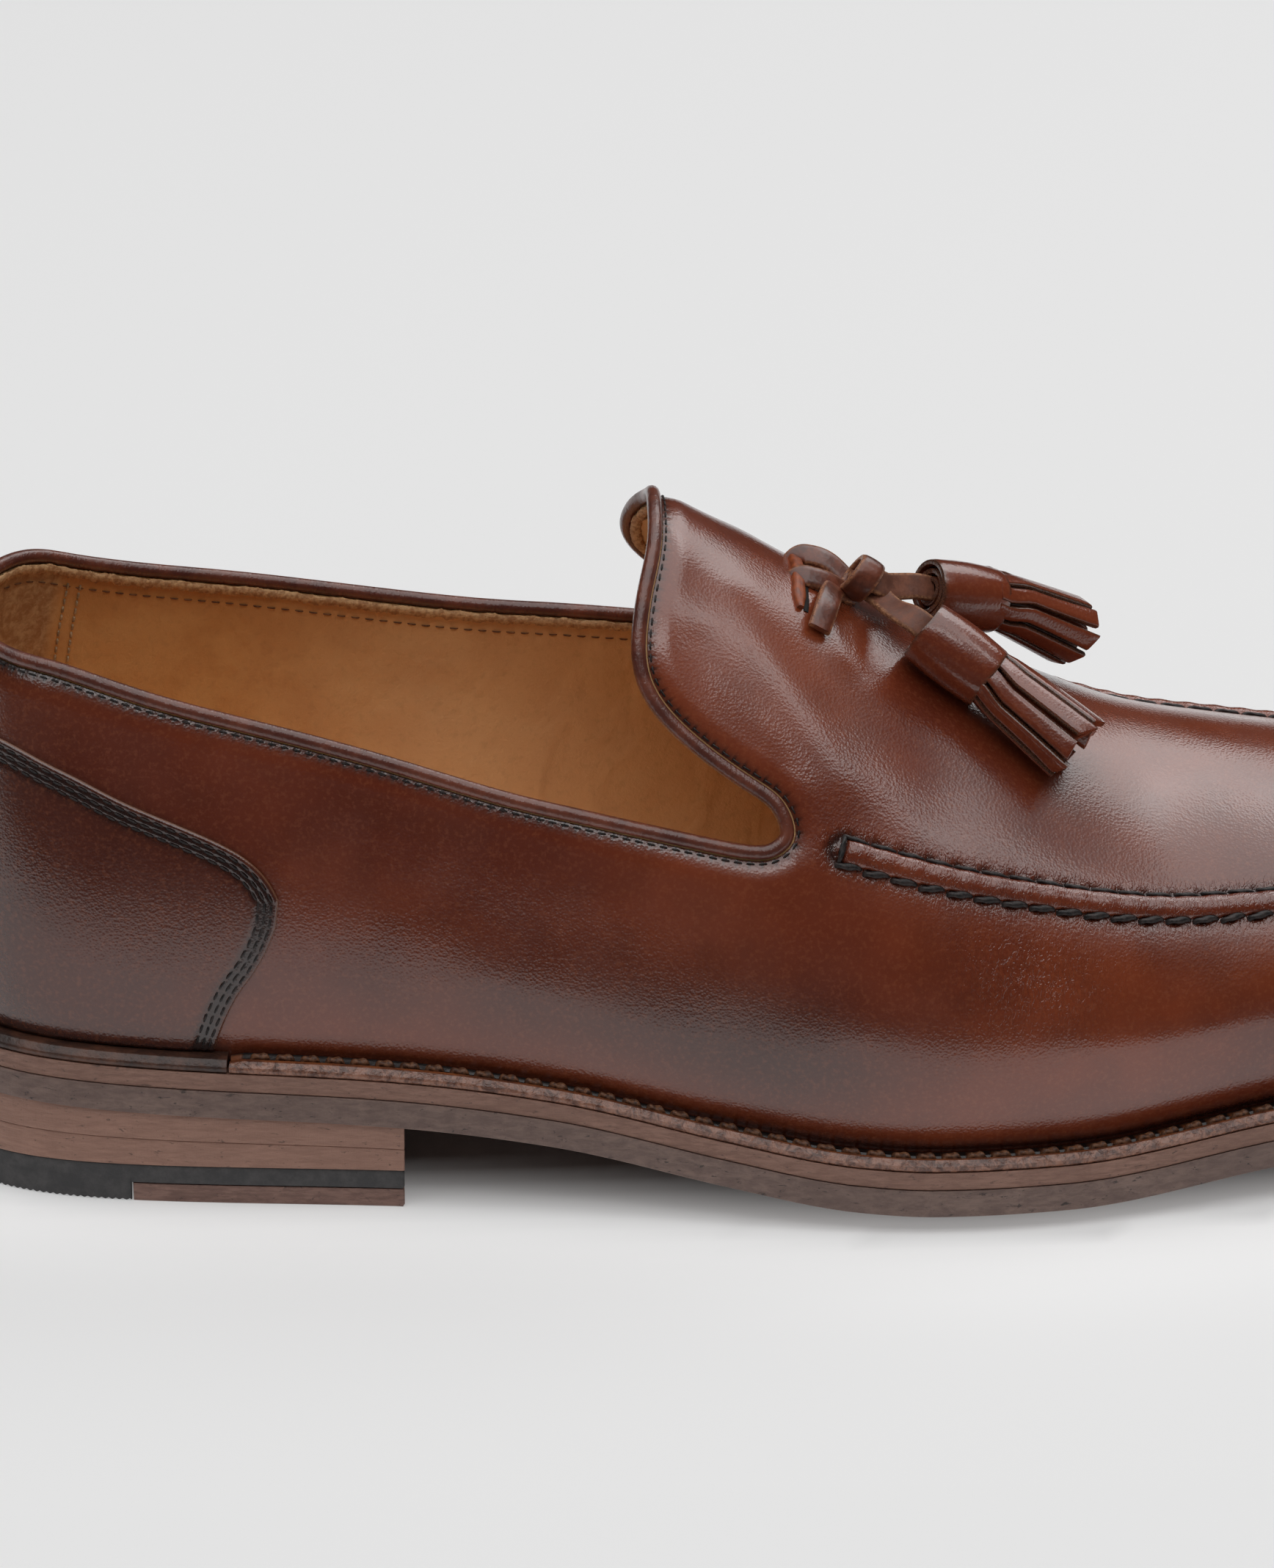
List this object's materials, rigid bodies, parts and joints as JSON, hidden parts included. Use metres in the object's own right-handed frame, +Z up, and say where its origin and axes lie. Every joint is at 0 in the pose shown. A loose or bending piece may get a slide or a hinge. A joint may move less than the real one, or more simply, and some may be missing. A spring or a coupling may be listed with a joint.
{
  "type": "tassel loafer",
  "caption": "Right-foot leather slip-on shoe with raised apron seam, bound collar, two wrapped tassels on a tie, welted leather sole and stacked heel.",
  "frame": {"origin": "on the flat underside of the heel, below the middle of the heel, 38 mm in front of its back", "axes": "+X from heel to toe, +Y to the inner (medial) side, +Z up"},
  "size_m": [0.288, 0.1027, 0.1033],
  "materials": {
    "calf": "reddish brown polished calf, darker at the edges",
    "piping": "dark burgundy brown bound edge, glossy",
    "lining": "tan lining leather, matt",
    "welt": "orange-brown welt with a burnished edge",
    "rand": "dark brown, polished",
    "midsole": "waxed leather edge, light brown",
    "outsole": "waxed leather edge, dark grey-brown",
    "lift": "stacked leather, light reddish brown",
    "rubber": "matt black rubber",
    "insert": "brown leather, matt"
  },
  "bodies": {
    "root": {"upper": "calf", "heel_counter": "calf", "apron_seam": "calf", "collar_piping": "piping", "insole": "lining", "outsole": "outsole", "midsole": "midsole", "welt": "welt", "heel_rand": "rand", "heel_lift_upper": "lift", "heel_lift_lower": "lift", "toplift_rubber": "rubber", "toplift_insert": "insert", "tie_braid": "calf", "tie_ring": "calf", "tassel_strap_lateral": "calf", "tassel_strap_medial": "calf", "tassel_cap_lateral": "calf", "tassel_cap_medial": "calf", "tassel_fringe_lateral": "calf", "tassel_fringe_medial": "calf"}
  },
  "joints": []
}
